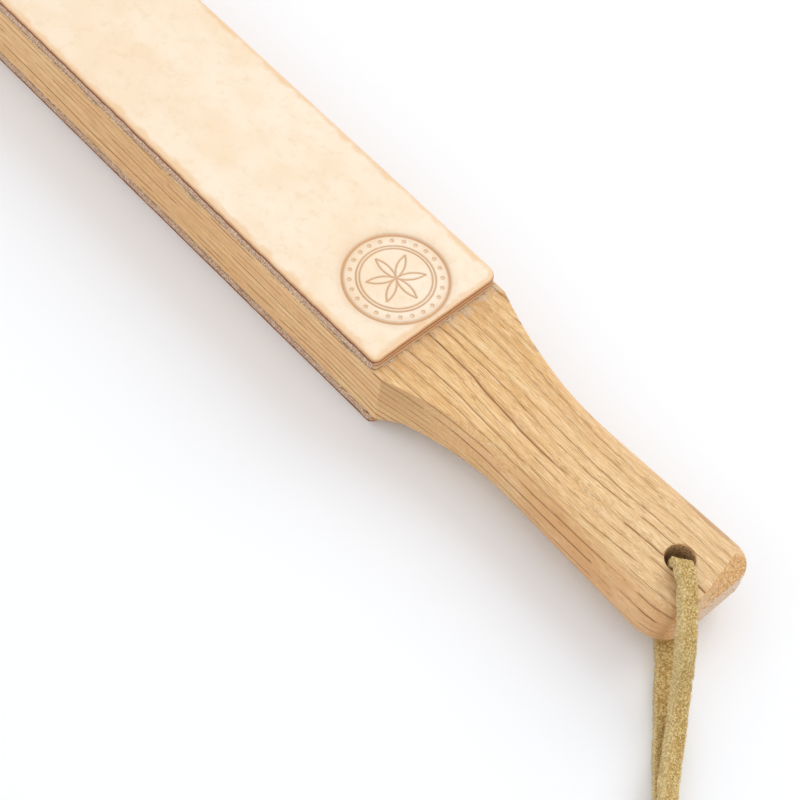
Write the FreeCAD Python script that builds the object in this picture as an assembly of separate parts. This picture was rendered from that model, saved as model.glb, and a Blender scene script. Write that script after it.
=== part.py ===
import FreeCAD, Part
import math
import os

# A paddle strop for honing carving knives: one oak paddle with a strap of leather glued to
# each face of its blade, and a suede lace looped through the handle.
# Millimetres.  +X runs from the blade to the handle, +Z up.  The strop lies on its lower
# leather, and the origin is under the middle of its length and width.

Vector = FreeCAD.Vector
UP = Vector(0, 0, 1)
FORWARD = Vector(1, 0, 0)

# Leather straps
LEATHER_LENGTH = 200.0
LEATHER_WIDTH = 45.0
LEATHER_THICKNESS = 4.2
LEATHER_CORNER_RADIUS = 3.5
LEATHER_RIM_RADIUS = 1.4
LOWER_STRAP_OVERHANG = 2.0

# Glue films
GLUE_THICKNESS = 0.15
GLUE_INSET = 0.4

# Oak paddle
OAK_THICKNESS = 19.0
HANDLE_LENGTH = 102.0
SHOULDER_LAND = 3.0
SHOULDER_ANGLE = 21.8
WAIST_RADIUS = 90.0
GRIP_END_WIDTH = 33.8
GRIP_TAPER_ANGLE = 1.9
GRIP_EDGE_RADIUS = 6.0
SHOULDER_EDGE_RADIUS = 0.4
EDGE_BLEND_LENGTH = 48.0
GRIP_LOWER_EDGE_RADIUS = 8.7
SHOULDER_LOWER_EDGE_RADIUS = 5.4
LOWER_EDGE_RUN_IN = 7.0
NEAR_CORNER_RADIUS = 10.5
FAR_CORNER_RADIUS = 6.5
CHAMFER_NEAR_RUN = 0.4
CHAMFER_FAR_RUN = 8.1
CHAMFER_DROP = 4.1
UNDER_CHAMFER_RUN = 4.5
UNDER_CHAMFER_DROP = 7.5
CHAMFER_SECTIONS = 7
LEAST_FLAT = 0.5
GRIP_SECTIONS = 13
END_SECTIONS = 9

# Hole for the lace
HOLE_DIAMETER = 8.0
HOLE_FROM_END = 12.8
HOLE_OVERRUN = 1.0

# Stamp pressed into the upper leather near the handle
STAMP_FROM_END = 16.4
STAMP_DEPTH = 0.3
OUTER_RING_RADIUS = 14.35
OUTER_RING_WIDTH = 0.7
INNER_RING_RADII = (10.65, 9.75)
FINE_LINE_WIDTH = 0.35
ROSETTE_RADIUS = 8.0
ROSETTE_ARCS = 6
DOT_CIRCLE_RADIUS = 12.45
DOT_RADIUS = 0.55
DOT_COUNT = 24

# Suede lace: a flat thong, which a round tube about as thick as the thong stands for
LACE_TUBE_DIAMETER = 3.0
LACE_WIDTH = 5.0
LACE_CUT_THICKNESS = 2.8
RUN_SHARE = 0.45

# The lace's route from the knot, under the handle, up the hole, over the handle's end and
# back to the knot.
LACE_ROUTE = [
    (180.60, -44.90, 3.20),
    (176.20, -39.80, 3.20),
    (170.00, -33.30, 1.90),
    (164.10, -26.50, 1.60),
    (157.90, -20.10, 1.60),
    (152.10, -13.50, 1.60),
    (146.60, -7.90, 1.60),
    (142.60, -4.10, 1.70),
    (139.20, -1.00, 2.90),
    (138.50, -0.30, 8.80),
    (138.70, -0.50, 15.00),
    (138.80, -0.60, 21.20),
    (140.10, -1.80, 25.90),
    (144.80, -5.10, 25.60),
    (149.40, -9.90, 25.60),
    (152.40, -13.10, 25.00),
    (156.00, -16.50, 21.90),
    (158.60, -18.30, 16.40),
    (160.60, -19.80, 10.90),
    (163.60, -22.80, 7.00),
    (168.40, -28.60, 5.20),
    (174.81, -38.19, 7.00),
    (180.60, -44.90, 7.00),
]

# Knot and the two cut tails beyond it
KNOT_RADIUS = 5.0
KNOT_LENGTH = 10.0
KNOT_EDGE_RADIUS = 1.1
TAIL_LENGTH = 15.0
TAIL_SPREAD = 11.0

# Places worked out from the sizes above
TOTAL_LENGTH = LEATHER_LENGTH + HANDLE_LENGTH
BLADE_END_X = -TOTAL_LENGTH / 2
HANDLE_END_X = TOTAL_LENGTH / 2
LEATHER_END_X = BLADE_END_X + LEATHER_LENGTH
LOWER_LEATHER_END_X = LEATHER_END_X + LOWER_STRAP_OVERHANG
SHOULDER_X = LEATHER_END_X + SHOULDER_LAND
HOLE_X = HANDLE_END_X - HOLE_FROM_END
STAMP_X = LEATHER_END_X - STAMP_FROM_END
HALF_WIDTH = LEATHER_WIDTH / 2
OAK_BOTTOM_Z = LEATHER_THICKNESS + GLUE_THICKNESS
OAK_TOP_Z = OAK_BOTTOM_Z + OAK_THICKNESS
TOP_LEATHER_Z = OAK_TOP_Z + GLUE_THICKNESS
TOP_Z = TOP_LEATHER_Z + LEATHER_THICKNESS


def save(shape, node):
    """Write one node and print what it holds."""
    shape.exportStep("parts/" + node + ".step")
    print(node, "valid", shape.isValid(), "solids", len(shape.Solids), "volume", round(shape.Volume, 1))


def strap_outline(end_x, inset):
    """A rectangle with rounded corners at height 0, from the blade's end to this X, less the inset."""
    low_x = BLADE_END_X + inset
    high_x = end_x - inset
    half = HALF_WIDTH - inset
    radius = LEATHER_CORNER_RADIUS - inset
    centres = [
        (high_x - radius, half - radius, 0),
        (low_x + radius, half - radius, 90),
        (low_x + radius, radius - half, 180),
        (high_x - radius, radius - half, 270),
    ]
    arcs = []
    for x, y, start in centres:
        circle = Part.Circle(Vector(x, y, 0), UP, radius)
        arcs.append(Part.Arc(circle, math.radians(start), math.radians(start + 90)))
    edges = []
    for arc, following in zip(arcs, arcs[1:] + arcs[:1]):
        edges.append(arc.toShape())
        edges.append(Part.LineSegment(arc.EndPoint, following.StartPoint).toShape())
    return Part.Face(Part.Wire(edges))


def leather_strap(end_x):
    """One strap, standing on height 0, with the rim of its upper face burnished round."""
    strap = strap_outline(end_x, 0.0).extrude(UP * LEATHER_THICKNESS)
    rim = [edge for edge in strap.Edges if edge.BoundBox.ZMin > LEATHER_THICKNESS - 0.001]
    return strap.makeFillet(LEATHER_RIM_RADIUS, rim)


def ring_groove(x, y, radius, width):
    """A ring that cuts a groove of this width, centred on the radius, into the upper leather."""
    base = Vector(x, y, TOP_Z - STAMP_DEPTH)
    height = 2 * STAMP_DEPTH
    outside = Part.makeCylinder(radius + width / 2, height, base)
    inside = Part.makeCylinder(radius - width / 2, height, base)
    return outside.cut(inside)


def stamp():
    """Everything that the round stamp presses in: rings, a rosette of compass arcs and dots."""
    pieces = [ring_groove(STAMP_X, 0, OUTER_RING_RADIUS, OUTER_RING_WIDTH)]
    for radius in INNER_RING_RADII:
        pieces.append(ring_groove(STAMP_X, 0, radius, FINE_LINE_WIDTH))
    base = Vector(STAMP_X, 0, TOP_Z - STAMP_DEPTH)
    disc = Part.makeCylinder(ROSETTE_RADIUS, 2 * STAMP_DEPTH, base)
    arcs = []
    for index in range(ROSETTE_ARCS):
        angle = 2 * math.pi * index / ROSETTE_ARCS
        x = STAMP_X + ROSETTE_RADIUS * math.cos(angle)
        y = ROSETTE_RADIUS * math.sin(angle)
        arcs.append(ring_groove(x, y, ROSETTE_RADIUS, FINE_LINE_WIDTH))
    pieces.append(arcs[0].multiFuse(arcs[1:]).common(disc))
    for index in range(DOT_COUNT):
        angle = 2 * math.pi * (index + 0.5) / DOT_COUNT
        shift = Vector(math.cos(angle), math.sin(angle), 0) * DOT_CIRCLE_RADIUS
        pieces.append(Part.makeCylinder(DOT_RADIUS, 2 * STAMP_DEPTH, base + shift))
    return Part.makeCompound(pieces)


def top_leather():
    strap = leather_strap(LEATHER_END_X)
    strap.translate(UP * TOP_LEATHER_Z)
    return strap.cut(stamp())


def bottom_leather():
    """The lower strap, turned over; it was trimmed a little nearer the shoulder."""
    strap = leather_strap(LOWER_LEATHER_END_X)
    strap.rotate(Vector(0, 0, 0), FORWARD, 180)
    strap.translate(UP * LEATHER_THICKNESS)
    return strap


def glue_film(end_x, z):
    film = strap_outline(end_x, GLUE_INSET).extrude(UP * GLUE_THICKNESS)
    film.translate(UP * z)
    return film


def grip_half_width(x):
    """Half the handle's width: a shoulder line and a taper line, joined by the waist's arc."""
    shoulder = math.radians(SHOULDER_ANGLE)
    taper = math.radians(GRIP_TAPER_ANGLE)
    turn = shoulder + taper
    end_half = GRIP_END_WIDTH / 2
    rise = HALF_WIDTH + math.tan(shoulder) * SHOULDER_X - end_half + math.tan(taper) * HANDLE_END_X
    meet_x = rise / (math.tan(shoulder) + math.tan(taper))
    meet_y = HALF_WIDTH - math.tan(shoulder) * (meet_x - SHOULDER_X)
    tangent = WAIST_RADIUS * math.tan(turn / 2)
    arc_start = meet_x - tangent * math.cos(shoulder)
    arc_end = meet_x + tangent * math.cos(taper)
    if x < arc_start:
        width = meet_y - math.tan(shoulder) * (x - meet_x)
    elif x > arc_end:
        width = meet_y + math.tan(taper) * (x - meet_x)
    else:
        centre_x = arc_end - WAIST_RADIUS * math.sin(taper)
        centre_y = meet_y + tangent * math.sin(taper) + WAIST_RADIUS * math.cos(taper)
        width = centre_y - math.sqrt(WAIST_RADIUS ** 2 - (x - centre_x) ** 2)
    return min(width, HALF_WIDTH)


def grip_edge_radius(x):
    """The handle's edges are crisp at the shoulder and rounded to the hand along the grip."""
    share = min(max((x - SHOULDER_X) / EDGE_BLEND_LENGTH, 0.0), 1.0)
    smooth = share * share * (3 - 2 * share)
    return SHOULDER_EDGE_RADIUS + (GRIP_EDGE_RADIUS - SHOULDER_EDGE_RADIUS) * smooth


def lower_edge_radius(x):
    """The lower edges are cut away further, from a short run-in at the shoulder."""
    start = min(max((x - SHOULDER_X) / LOWER_EDGE_RUN_IN, 0.0), 1.0)
    share = min(max((x - SHOULDER_X) / EDGE_BLEND_LENGTH, 0.0), 1.0)
    smooth = share * share * (3 - 2 * share)
    full = SHOULDER_LOWER_EDGE_RADIUS + (GRIP_LOWER_EDGE_RADIUS - SHOULDER_LOWER_EDGE_RADIUS) * smooth
    return SHOULDER_EDGE_RADIUS + (full - SHOULDER_EDGE_RADIUS) * start


def cornered_half_width(x, corner_radius):
    """Half the handle's width on a side where its end is rounded in plan by this radius."""
    corner_x = HANDLE_END_X - corner_radius
    if x <= corner_x:
        return grip_half_width(x)
    reach = math.sqrt(max(corner_radius ** 2 - (x - corner_x) ** 2, 0.0))
    return grip_half_width(corner_x) - corner_radius + reach


def grip_section(x):
    """The handle's rounded rectangular outline across X; its far side is +Y."""
    far = cornered_half_width(x, FAR_CORNER_RADIUS)
    near = cornered_half_width(x, NEAR_CORNER_RADIUS)
    widest = min(far, near) - LEAST_FLAT
    upper = min(grip_edge_radius(x), widest, OAK_THICKNESS / 2 - LEAST_FLAT)
    lower = min(lower_edge_radius(x), widest, OAK_THICKNESS - upper - LEAST_FLAT)
    centres = [
        (far - upper, OAK_TOP_Z - upper, upper, 0),
        (upper - near, OAK_TOP_Z - upper, upper, 90),
        (lower - near, OAK_BOTTOM_Z + lower, lower, 180),
        (far - lower, OAK_BOTTOM_Z + lower, lower, 270),
    ]
    arcs = []
    for y, z, radius, start in centres:
        points = []
        for angle in (start, start + 45, start + 90):
            turn = math.radians(angle)
            points.append(Vector(x, y + radius * math.cos(turn), z + radius * math.sin(turn)))
        arcs.append(Part.Arc(*points))
    edges = []
    for arc, following in zip(arcs, arcs[1:] + arcs[:1]):
        edges.append(arc.toShape())
        edges.append(Part.LineSegment(arc.EndPoint, following.StartPoint).toShape())
    return Part.Wire(edges)


def end_chamfer():
    """What comes off the handle's upper end arris: a bevel sanded by hand, wider on the far side."""
    beyond = HANDLE_END_X + CHAMFER_DROP
    above = OAK_TOP_Z + CHAMFER_DROP
    sections = []
    for index in range(CHAMFER_SECTIONS):
        share = index / (CHAMFER_SECTIONS - 1)
        y = LEATHER_WIDTH * share - HALF_WIDTH
        run = CHAMFER_NEAR_RUN + (CHAMFER_FAR_RUN - CHAMFER_NEAR_RUN) * share ** 2
        corners = [
            (HANDLE_END_X - run, OAK_TOP_Z),
            (HANDLE_END_X, OAK_TOP_Z - CHAMFER_DROP),
            (beyond, OAK_TOP_Z - CHAMFER_DROP),
            (beyond, above),
            (HANDLE_END_X - run, above),
        ]
        points = [Vector(x, y, z) for x, z in corners]
        sections.append(Part.makePolygon(points + points[:1]))
    return Part.makeLoft(sections, True, True)


def under_chamfer():
    """What comes off the handle's lower end arris."""
    corners = [
        (HANDLE_END_X - UNDER_CHAMFER_RUN, OAK_BOTTOM_Z),
        (HANDLE_END_X, OAK_BOTTOM_Z + UNDER_CHAMFER_DROP),
        (HANDLE_END_X + UNDER_CHAMFER_RUN, OAK_BOTTOM_Z + UNDER_CHAMFER_DROP),
        (HANDLE_END_X + UNDER_CHAMFER_RUN, OAK_BOTTOM_Z - UNDER_CHAMFER_DROP),
        (HANDLE_END_X - UNDER_CHAMFER_RUN, OAK_BOTTOM_Z - UNDER_CHAMFER_DROP),
    ]
    points = [Vector(x, -LEATHER_WIDTH, z) for x, z in corners]
    return Part.Face(Part.makePolygon(points + points[:1])).extrude(Vector(0, 2 * LEATHER_WIDTH, 0))


def grip():
    """The handle: a smooth loft along the grip, then short ruled steps round its end's two corners."""
    corner_x = HANDLE_END_X - max(NEAR_CORNER_RADIUS, FAR_CORNER_RADIUS)
    step = (corner_x - SHOULDER_X) / (GRIP_SECTIONS - 1)
    along = [grip_section(SHOULDER_X + step * index) for index in range(GRIP_SECTIONS)]
    round_end = []
    for index in range(END_SECTIONS):
        turn = math.pi / 2 * index / (END_SECTIONS - 1)
        round_end.append(grip_section(corner_x + (HANDLE_END_X - corner_x) * math.sin(turn)))
    body = Part.makeLoft(along, True, False)
    end = Part.makeLoft(round_end, True, True)
    return body.fuse(end).cut(end_chamfer()).cut(under_chamfer())


def oak_paddle():
    """One length of oak: the blade's block runs on into the shaped handle."""
    block_outline = strap_outline(LEATHER_END_X, 0.0).common(Part.makePlane(
        LEATHER_LENGTH - LEATHER_CORNER_RADIUS, LEATHER_WIDTH, Vector(BLADE_END_X, -HALF_WIDTH, 0)))
    block = block_outline.extrude(UP * OAK_THICKNESS)
    block.translate(UP * OAK_BOTTOM_Z)
    root_length = LEATHER_CORNER_RADIUS + SHOULDER_LAND
    root_corner = Vector(SHOULDER_X - root_length, -HALF_WIDTH, OAK_BOTTOM_Z)
    root = Part.makeBox(root_length, LEATHER_WIDTH, OAK_THICKNESS, root_corner)
    paddle = block.fuse(root).fuse(grip())
    hole_base = Vector(HOLE_X, 0, OAK_BOTTOM_Z - HOLE_OVERRUN)
    hole = Part.makeCylinder(HOLE_DIAMETER / 2, OAK_THICKNESS + 2 * HOLE_OVERRUN, hole_base)
    return paddle.cut(hole).removeSplitter()


def route_path(route):
    """Straight runs joined by tangent arcs, each as large as its two runs allow."""
    points = [Vector(*point) for point in route]
    edges = []
    radii = []
    start = points[0]
    for before, corner, after in zip(points, points[1:], points[2:]):
        arriving = (corner - before).normalize()
        leaving = (after - corner).normalize()
        half_turn = arriving.getAngle(leaving) / 2
        reach = RUN_SHARE * min(before.distanceToPoint(corner), corner.distanceToPoint(after))
        radius = reach / math.tan(half_turn)
        radii.append(round(radius, 1))
        arc_start = corner - arriving * reach
        arc_end = corner + leaving * reach
        inward = (leaving - arriving).normalize()
        middle = corner + inward * (radius / math.cos(half_turn) - radius)
        edges.append(Part.LineSegment(start, arc_start).toShape())
        edges.append(Part.Arc(arc_start, middle, arc_end).toShape())
        start = arc_end
    edges.append(Part.LineSegment(start, points[-1]).toShape())
    print("lace radii", radii)
    return Part.Wire(edges)


def lanyard_lace():
    """The lace as a round tube along its whole route, from the knot and back to it."""
    path = route_path(LACE_ROUTE)
    first = Vector(*LACE_ROUTE[0])
    direction = Vector(*LACE_ROUTE[1]) - first
    circle = Part.Wire(Part.Circle(first, direction, LACE_TUBE_DIAMETER / 2).toShape())
    tube = path.makePipeShell([circle], True, False)
    expected = path.Length * math.pi * LACE_TUBE_DIAMETER ** 2 / 4
    print("lace length", round(path.Length, 1), "volume share", round(tube.Volume / expected, 4))
    return tube


def lanyard_knot():
    """The overhand knot that ties the lace's ends together, and the two cut tails beyond it."""
    first = Vector(*LACE_ROUTE[0])
    last = Vector(*LACE_ROUTE[-1])
    axis = (first - Vector(*LACE_ROUTE[1])).normalize()
    face = (first + last) * 0.5
    knot = Part.makeCylinder(KNOT_RADIUS, KNOT_LENGTH, face, axis)
    rims = [edge for edge in knot.Edges if len(edge.Vertexes) == 1]
    knot = knot.makeFillet(KNOT_EDGE_RADIUS, rims)
    floor_gap = face.z - KNOT_RADIUS
    for side in (1, -1):
        tail = Part.makeBox(TAIL_LENGTH + KNOT_LENGTH / 2, LACE_WIDTH, LACE_CUT_THICKNESS,
                            Vector(0, -LACE_WIDTH / 2, 0))
        heading = math.degrees(math.atan2(axis.y, axis.x)) + side * TAIL_SPREAD
        tail.rotate(Vector(0, 0, 0), UP, heading)
        root = face + axis * (KNOT_LENGTH / 2)
        tail.translate(Vector(root.x, root.y, floor_gap + (1 - side) * LACE_CUT_THICKNESS / 2))
        knot = knot.fuse(tail)
    return knot.removeSplitter()


os.makedirs("parts", exist_ok=True)
save(oak_paddle(), "oak_paddle")
save(top_leather(), "top_leather")
save(bottom_leather(), "bottom_leather")
save(glue_film(LEATHER_END_X, OAK_TOP_Z), "top_glue_film")
save(glue_film(LOWER_LEATHER_END_X, LEATHER_THICKNESS), "bottom_glue_film")
save(lanyard_lace(), "lanyard_lace")
save(lanyard_knot(), "lanyard_knot")
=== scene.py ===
import math

import bmesh
import bpy
import numpy as np
from mathutils import Matrix, Vector, noise


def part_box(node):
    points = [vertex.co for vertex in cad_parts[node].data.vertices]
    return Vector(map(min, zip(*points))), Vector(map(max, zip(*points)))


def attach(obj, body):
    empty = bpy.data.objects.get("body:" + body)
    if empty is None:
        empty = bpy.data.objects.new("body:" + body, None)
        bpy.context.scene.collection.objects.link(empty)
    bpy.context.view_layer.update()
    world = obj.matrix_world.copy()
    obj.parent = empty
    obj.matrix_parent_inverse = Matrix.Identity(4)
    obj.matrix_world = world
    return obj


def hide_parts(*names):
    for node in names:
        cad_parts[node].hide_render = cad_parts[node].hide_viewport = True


# The looks of a leather paddle strop: an oiled oak paddle, a strap of vegetable-tanned leather
# glued to each face of its blade, and a suede lace through the handle.
# Metres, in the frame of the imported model: +X from the blade to the handle, +Z up.

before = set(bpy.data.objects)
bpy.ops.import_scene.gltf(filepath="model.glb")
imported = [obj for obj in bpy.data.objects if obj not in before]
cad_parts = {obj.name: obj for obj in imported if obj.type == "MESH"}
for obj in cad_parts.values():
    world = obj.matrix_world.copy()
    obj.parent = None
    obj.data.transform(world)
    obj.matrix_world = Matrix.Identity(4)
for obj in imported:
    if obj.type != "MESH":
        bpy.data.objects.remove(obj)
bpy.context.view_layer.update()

MM = 0.001

# Leather straps
CORNER_RADIUS = 3.5 * MM
RIM_RADIUS = 0.95 * MM
RELIEF_STEP = 0.17 * MM
PLAIN_STEP = 3.0 * MM
WALL_LOOPS = 9
SQUARE_CORNER = 0.2
WALL_WAVE = 0.08 * MM

# Stamp
STAMP_FROM_END = 16.4 * MM
OUTER_RING_RADIUS = 14.35 * MM
INNER_RING_RADII = (10.65 * MM, 9.75 * MM)
ROSETTE_RADIUS = 8.0 * MM
ROSETTE_ARCS = 6
DOT_CIRCLE_RADIUS = 12.45 * MM
DOT_RADIUS = 0.62 * MM
DOT_COUNT = 24

# Oak paddle
SHOULDER_LAND = 3.0 * MM
SHOULDER_ANGLE = math.radians(21.8)
WAIST_RADIUS = 90.0 * MM
GRIP_END_WIDTH = 33.8 * MM
GRIP_TAPER = math.radians(1.9)
GRIP_EDGE_RADIUS = 6.0 * MM
CRISP_EDGE_RADIUS = 0.4 * MM
EDGE_BLEND_LENGTH = 48.0 * MM
GRIP_LOWER_EDGE_RADIUS = 8.7 * MM
SHOULDER_LOWER_EDGE_RADIUS = 5.4 * MM
LOWER_EDGE_RUN_IN = 7.0 * MM
NEAR_CORNER_RADIUS = 10.5 * MM
FAR_CORNER_RADIUS = 6.5 * MM
CHAMFER_NEAR_RUN = 0.4 * MM
CHAMFER_FAR_RUN = 8.1 * MM
CHAMFER_DROP = 4.1 * MM
UNDER_CHAMFER_RUN = 4.5 * MM
UNDER_CHAMFER_DROP = 7.5 * MM
ARRIS = 0.3 * MM
HOLE_RADIUS = 4.0 * MM
HOLE_FROM_END = 12.8 * MM
FLAT_CELLS = 24
SIDE_CELLS = 6
ARC_CELLS = 8
HOLE_CELLS = 12

# Lace
LACE_WIDTH = 5.5 * MM
LACE_THICKNESS = 2.6 * MM
LACE_TWIST = math.radians(27)

# Knot
KNOT_FACE = Vector((0.1806, -0.0449, 0.0051))
KNOT_HEADING = math.atan2(-0.757, 0.653)
KNOT_LENGTH = 10.0 * MM
TAIL_LENGTH = 14.5 * MM
TAIL_SPREAD = math.radians(11)

# Glue
GLUE_INSET = 0.4 * MM
BEAD_SPACING = 1.5 * MM
BEAD_SIZE = 0.32 * MM

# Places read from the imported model
leather_low, leather_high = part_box("top_leather")
oak_low, oak_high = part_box("oak_paddle")
HALF_WIDTH = leather_high.y
LEATHER_END = leather_high.x
BLADE_END = oak_low.x
HANDLE_END = oak_high.x
SHOULDER = LEATHER_END + SHOULDER_LAND
HOLE_X = HANDLE_END - HOLE_FROM_END
STAMP_X = LEATHER_END - STAMP_FROM_END
MIDDLE_Z = (oak_low.z + oak_high.z) / 2
HALF_THICKNESS = (oak_high.z - oak_low.z) / 2
HOLE_BLOCK = 2.8 * HOLE_RADIUS
BEVEL_ROW = HANDLE_END - 3.2 * MM

# The lace's route: from the knot, under the handle, up the hole, over the handle's end and
# back to the knot.
LACE_ROUTE = [
    (0.18060, -0.04490, 0.00320),
    (0.17620, -0.03980, 0.00320),
    (0.17000, -0.03330, 0.00190),
    (0.16410, -0.02650, 0.00160),
    (0.15790, -0.02010, 0.00160),
    (0.15210, -0.01350, 0.00160),
    (0.14660, -0.00790, 0.00160),
    (0.14260, -0.00410, 0.00170),
    (0.13920, -0.00100, 0.00290),
    (0.13850, -0.00030, 0.00880),
    (0.13870, -0.00050, 0.01500),
    (0.13880, -0.00060, 0.02120),
    (0.14010, -0.00180, 0.02590),
    (0.14480, -0.00510, 0.02560),
    (0.14940, -0.00990, 0.02560),
    (0.15240, -0.01310, 0.02500),
    (0.15600, -0.01650, 0.02190),
    (0.15860, -0.01830, 0.01640),
    (0.16060, -0.01980, 0.01090),
    (0.16360, -0.02280, 0.00700),
    (0.16840, -0.02860, 0.00520),
    (0.17481, -0.03819, 0.00700),
    (0.18060, -0.04490, 0.00700),
]


# ---------------------------------------------------------------- meshes

def smooth(share):
    """0 to 1 with soft ends."""
    share = min(max(share, 0.0), 1.0)
    return share * share * (3 - 2 * share)


def steps(start, end, step):
    """Even steps of about this size from start to end, both ends included."""
    count = max(1, round((end - start) / step))
    return [start + (end - start) * index / count for index in range(count + 1)]


def ripple(point, size, height, seed=0.0):
    """A smooth random height, the same at each run, of waves about this size."""
    return noise.noise(Vector(point) / size + Vector((seed, seed, seed))) * height


def mesh_piece(name, points, faces, body="root"):
    """A closed mesh at the origin, with its doubles merged and its faces outwards."""
    mesh = bpy.data.meshes.new(name)
    mesh.from_pydata([tuple(point) for point in points], [], faces)
    built = bmesh.new()
    built.from_mesh(mesh)
    bmesh.ops.remove_doubles(built, verts=built.verts, dist=1e-7)
    bmesh.ops.recalc_face_normals(built, faces=built.faces)
    built.to_mesh(mesh)
    built.free()
    mesh.shade_smooth()
    piece = bpy.data.objects.new(name, mesh)
    bpy.context.scene.collection.objects.link(piece)
    return piece


def with_modifier(piece, kind, **settings):
    """The piece with this modifier made part of its mesh."""
    modifier = piece.modifiers.new(kind, kind)
    for key, value in settings.items():
        setattr(modifier, key, value)
    graph = bpy.context.evaluated_depsgraph_get()
    mesh = bpy.data.meshes.new_from_object(piece.evaluated_get(graph), depsgraph=graph)
    piece.modifiers.remove(modifier)
    piece.data = mesh
    return piece


def lofted(rings, first_cap=True, last_cap=True):
    """Quads between rings of equal length, each closed on itself, with flat ends."""
    count = len(rings[0])
    points = [point for ring in rings for point in ring]
    faces = []
    for row in range(len(rings) - 1):
        for column in range(count):
            after = (column + 1) % count
            faces.append((row * count + column, row * count + after,
                          (row + 1) * count + after, (row + 1) * count + column))
    if first_cap:
        faces.append(tuple(range(count)))
    if last_cap:
        faces.append(tuple(range((len(rings) - 1) * count, len(rings) * count)))
    return points, faces


# ---------------------------------------------------------------- oak

def grip_half_width(x):
    """Half the handle's width: a shoulder line and a taper line, joined by the waist's arc."""
    end_half = GRIP_END_WIDTH / 2
    rise = HALF_WIDTH + math.tan(SHOULDER_ANGLE) * SHOULDER - end_half + math.tan(GRIP_TAPER) * HANDLE_END
    meet_x = rise / (math.tan(SHOULDER_ANGLE) + math.tan(GRIP_TAPER))
    meet_y = HALF_WIDTH - math.tan(SHOULDER_ANGLE) * (meet_x - SHOULDER)
    tangent = WAIST_RADIUS * math.tan((SHOULDER_ANGLE + GRIP_TAPER) / 2)
    arc_start = meet_x - tangent * math.cos(SHOULDER_ANGLE)
    arc_end = meet_x + tangent * math.cos(GRIP_TAPER)
    if x < arc_start:
        return min(HALF_WIDTH, meet_y - math.tan(SHOULDER_ANGLE) * (x - meet_x))
    if x > arc_end:
        return meet_y + math.tan(GRIP_TAPER) * (x - meet_x)
    centre_x = arc_end - WAIST_RADIUS * math.sin(GRIP_TAPER)
    centre_y = meet_y + tangent * math.sin(GRIP_TAPER) + WAIST_RADIUS * math.cos(GRIP_TAPER)
    return centre_y - math.sqrt(WAIST_RADIUS ** 2 - (x - centre_x) ** 2)


def side_half_width(x, corner_radius):
    """Half the paddle's width at X, on a side whose corner at the handle's end has this plan radius."""
    half = grip_half_width(x)
    blade_corner = BLADE_END + CORNER_RADIUS - x
    if blade_corner > 0:
        half -= CORNER_RADIUS - math.sqrt(max(CORNER_RADIUS ** 2 - blade_corner ** 2, 0.0))
    corner_x = HANDLE_END - corner_radius
    if x > corner_x:
        reach = math.sqrt(max(corner_radius ** 2 - (x - corner_x) ** 2, 0.0))
        half = grip_half_width(corner_x) - corner_radius + reach
    return half


def chamfer_run(y):
    """How far back the upper bevel of the handle's end begins: hand-sanded, wider on the far side."""
    share = (y + HALF_WIDTH) / (2 * HALF_WIDTH)
    return CHAMFER_NEAR_RUN + (CHAMFER_FAR_RUN - CHAMFER_NEAR_RUN) * share ** 2


def drawn_to_bevel(x, y, height):
    """X moved so that the rows of the mesh near the handle's end follow the two bevels' edges."""
    start = HOLE_X + HOLE_BLOCK / 2
    if x <= start:
        return x
    upper = HANDLE_END - chamfer_run(y)
    lower = HANDLE_END - UNDER_CHAMFER_RUN
    edge = lower + (upper - lower) * smooth(0.5 + height / (2 * HALF_THICKNESS))
    if x < BEVEL_ROW:
        return start + (edge - start) * (x - start) / (BEVEL_ROW - start)
    return edge + (HANDLE_END - edge) * (x - BEVEL_ROW) / (HANDLE_END - BEVEL_ROW)


def bevelled(x, y, height):
    """Height above the middle, cut down to the two bevels of the handle's end."""
    run = chamfer_run(y)
    upper = HALF_THICKNESS - CHAMFER_DROP * max(0.0, (x - HANDLE_END + run) / run)
    share = max(0.0, (x - HANDLE_END + UNDER_CHAMFER_RUN) / UNDER_CHAMFER_RUN)
    lower = UNDER_CHAMFER_DROP * share - HALF_THICKNESS
    return max(min(height, upper), lower)


def edge_radii(x):
    """The upper and lower edges' radii: the lower ones are cut away further, from the shoulder on."""
    grip_share = smooth((x - SHOULDER) / EDGE_BLEND_LENGTH)
    upper = CRISP_EDGE_RADIUS + (GRIP_EDGE_RADIUS - CRISP_EDGE_RADIUS) * grip_share ** 1.8
    run_in = min(max((x - SHOULDER) / LOWER_EDGE_RUN_IN, 0.0), 1.0)
    full = SHOULDER_LOWER_EDGE_RADIUS + (GRIP_LOWER_EDGE_RADIUS - SHOULDER_LOWER_EDGE_RADIUS) * grip_share
    return upper, CRISP_EDGE_RADIUS + (full - CRISP_EDGE_RADIUS) * run_in


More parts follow.
